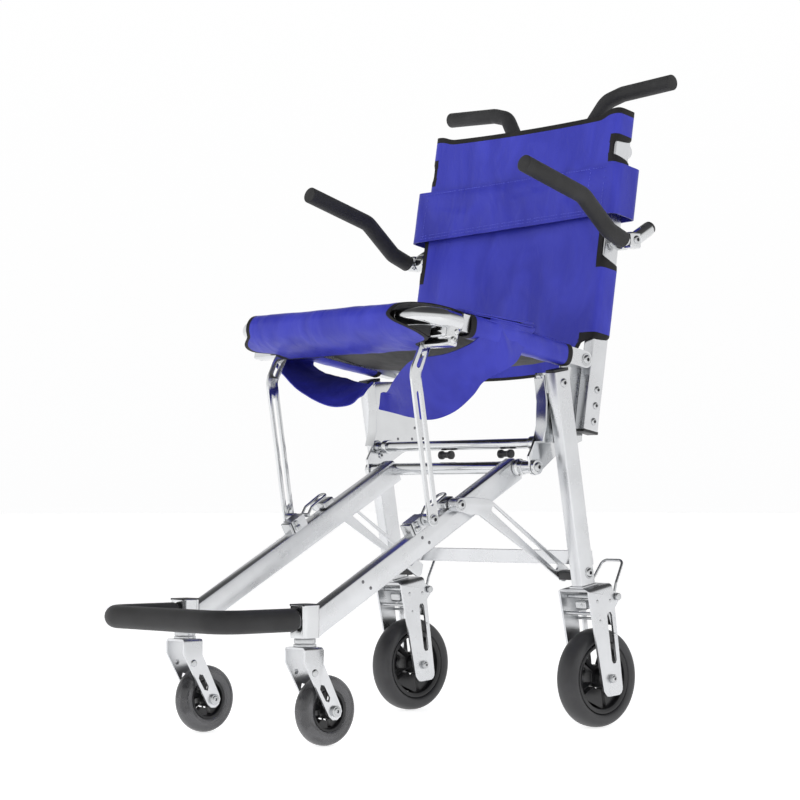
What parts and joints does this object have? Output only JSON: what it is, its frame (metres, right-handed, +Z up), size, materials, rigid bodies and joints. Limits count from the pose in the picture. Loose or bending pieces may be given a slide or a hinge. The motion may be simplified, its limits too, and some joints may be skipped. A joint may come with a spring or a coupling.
{
  "type": "stair chair",
  "caption": "Folding stair chair with sling seat and back, wheeled rear legs, swivel front casters, foot bar, push handles and lifting arm handles.",
  "frame": {"origin": "middle of the footprint, on the floor", "axes": "+Z up, +Y towards the back of the chair, +X to the sitter's left"},
  "size_m": [0.4744, 0.7708, 0.9381],
  "materials": {
    "aluminium_tube": "satin anodised",
    "polished_aluminium": "polished",
    "steel": "bright zinc plate",
    "black_plastic": "matte",
    "foam": "closed-cell foam, matte",
    "rear_tyre": "matte grey rubber",
    "front_tyre": "smoke grey, slightly see-through",
    "hub_plastic": "semi-matte",
    "sling_fabric": "coated cloth with a soft shine"
  },
  "bodies": {
    "rear_frame": {"rear_leg_l": "aluminium_tube", "rear_leg_r": "aluminium_tube", "leg_cap_l": "black_plastic", "leg_cap_r": "black_plastic", "rear_fork_l": "aluminium_tube", "rear_fork_r": "aluminium_tube", "rear_axle_l": "steel", "rear_axle_r": "steel", "gusset_l": "polished_aluminium", "gusset_r": "polished_aluminium", "back_post_l": "aluminium_tube", "back_post_r": "aluminium_tube", "push_handle_l": "aluminium_tube", "push_handle_r": "aluminium_tube", "push_grip_l": "foam", "push_grip_r": "foam", "spacer_l": "black_plastic", "spacer_r": "black_plastic", "upper_crossbar": "polished_aluminium", "rear_cross_plate": "aluminium_tube", "back_cross_tube": "aluminium_tube", "backrest_sling": "sling_fabric", "chest_strap": "sling_fabric"},
    "front_frame": {"front_rail_l": "aluminium_tube", "front_rail_r": "aluminium_tube", "front_post_l": "polished_aluminium", "front_post_r": "polished_aluminium", "lower_crossbar": "polished_aluminium", "foot_bar": "aluminium_tube", "foot_bar_grip": "foam"},
    "seat": {"seat_side_tube_l": "aluminium_tube", "seat_side_tube_r": "aluminium_tube", "seat_corner_l": "polished_aluminium", "seat_corner_r": "polished_aluminium", "leg_belt_l": "sling_fabric", "leg_belt_r": "sling_fabric", "seat_front_tube": "aluminium_tube", "seat_sling": "sling_fabric"},
    "rear_wheel_l": {"rear_hub_l": "hub_plastic", "rear_tyre_l": "rear_tyre"},
    "brake_l": {"brake_lever_l": "steel"},
    "arm_l": {"arm_handle_l": "polished_aluminium", "arm_grip_l": "foam"},
    "latch_l": {"latch_lever_l": "steel"},
    "caster_l": {"caster_fork_l": "aluminium_tube"},
    "front_wheel_l": {"front_hub_l": "hub_plastic", "front_tyre_l": "front_tyre"},
    "link_l": {"seat_link_l": "aluminium_tube"},
    "brace_l": {"brace_l": "aluminium_tube"},
    "rear_wheel_r": {"rear_hub_r": "hub_plastic", "rear_tyre_r": "rear_tyre"},
    "brake_r": {"brake_lever_r": "steel"},
    "arm_r": {"arm_handle_r": "polished_aluminium", "arm_grip_r": "foam"},
    "latch_r": {"latch_lever_r": "steel"},
    "caster_r": {"caster_fork_r": "aluminium_tube"},
    "front_wheel_r": {"front_hub_r": "hub_plastic", "front_tyre_r": "front_tyre"},
    "link_r": {"seat_link_r": "aluminium_tube"},
    "brace_r": {"brace_r": "aluminium_tube"}
  },
  "joints": [
    {"name": "fold", "type": "hinge", "parent": "rear_frame", "child": "front_frame", "pos_m": [0, 0.14763, 0.366], "axis": [-1, 0, 0], "range_deg": [0, 98]},
    {"name": "seat_fold", "type": "hinge", "parent": "rear_frame", "child": "seat", "pos_m": [0, 0.21463, 0.5176], "axis": [-1, 0, 0], "range_deg": [0, 80], "deforming": ["leg_belt_l", "leg_belt_r"]},
    {"name": "link_turn_l", "type": "hinge", "parent": "front_frame", "child": "link_l", "pos_m": [0.151, -0.03137, 0.2935], "axis": [-1, 0, 0], "range_deg": [-76, 0]},
    {"name": "brace_turn_l", "type": "hinge", "parent": "front_frame", "child": "brace_l", "pos_m": [0.151, 0.01963, 0.3135], "axis": [-1, 0, 0], "range_deg": [-34, 0]},
    {"name": "caster_swivel_l", "type": "hinge", "parent": "front_frame", "child": "caster_l", "pos_m": [0.127, -0.23737, 0.135], "axis": [0, 0, 1], "continuous": true},
    {"name": "front_roll_l", "type": "hinge", "parent": "caster_l", "child": "front_wheel_l", "pos_m": [0.127, -0.20337, 0.0461], "axis": [1, 0, 0], "continuous": true},
    {"name": "rear_roll_l", "type": "hinge", "parent": "rear_frame", "child": "rear_wheel_l", "pos_m": [0.1925, 0.24763, 0.0697], "axis": [1, 0, 0], "continuous": true},
    {"name": "brake_press_l", "type": "hinge", "parent": "rear_frame", "child": "brake_l", "pos_m": [0.1925, 0.25783, 0.1842], "axis": [-1, 0, 0], "range_deg": [0, 22]},
    {"name": "arm_lift_l", "type": "hinge", "parent": "rear_frame", "child": "arm_l", "pos_m": [0.225, 0.28963, 0.6905], "axis": [-1, 0, 0], "range_deg": [0, 70]},
    {"name": "latch_lift_l", "type": "hinge", "parent": "front_frame", "child": "latch_l", "pos_m": [0.1255, -0.02304, 0.29856], "axis": [1, 0, 0], "range_deg": [0, 40]},
    {"name": "link_turn_r", "type": "hinge", "parent": "front_frame", "child": "link_r", "pos_m": [-0.151, -0.03137, 0.2935], "axis": [-1, 0, 0], "range_deg": [-76, 0]},
    {"name": "brace_turn_r", "type": "hinge", "parent": "front_frame", "child": "brace_r", "pos_m": [-0.151, 0.01963, 0.3135], "axis": [-1, 0, 0], "range_deg": [-34, 0]},
    {"name": "caster_swivel_r", "type": "hinge", "parent": "front_frame", "child": "caster_r", "pos_m": [-0.127, -0.23737, 0.135], "axis": [0, 0, 1], "continuous": true},
    {"name": "front_roll_r", "type": "hinge", "parent": "caster_r", "child": "front_wheel_r", "pos_m": [-0.127, -0.20337, 0.0461], "axis": [1, 0, 0], "continuous": true},
    {"name": "rear_roll_r", "type": "hinge", "parent": "rear_frame", "child": "rear_wheel_r", "pos_m": [-0.1925, 0.24763, 0.0697], "axis": [1, 0, 0], "continuous": true},
    {"name": "brake_press_r", "type": "hinge", "parent": "rear_frame", "child": "brake_r", "pos_m": [-0.1925, 0.25783, 0.1842], "axis": [-1, 0, 0], "range_deg": [0, 22]},
    {"name": "arm_lift_r", "type": "hinge", "parent": "rear_frame", "child": "arm_r", "pos_m": [-0.225, 0.28963, 0.6905], "axis": [-1, 0, 0], "range_deg": [0, 70]},
    {"name": "latch_lift_r", "type": "hinge", "parent": "front_frame", "child": "latch_r", "pos_m": [-0.1255, -0.02304, 0.29856], "axis": [1, 0, 0], "range_deg": [0, 40]}
  ],
  "couplings": [
    {"joint": "seat_fold", "follows": "fold", "ratio": 0.8095},
    {"joint": "link_turn_l", "follows": "fold", "ratio": -0.766},
    {"joint": "brace_turn_l", "follows": "fold", "ratio": -0.343},
    {"joint": "link_turn_r", "follows": "fold", "ratio": -0.766},
    {"joint": "brace_turn_r", "follows": "fold", "ratio": -0.343}
  ]
}
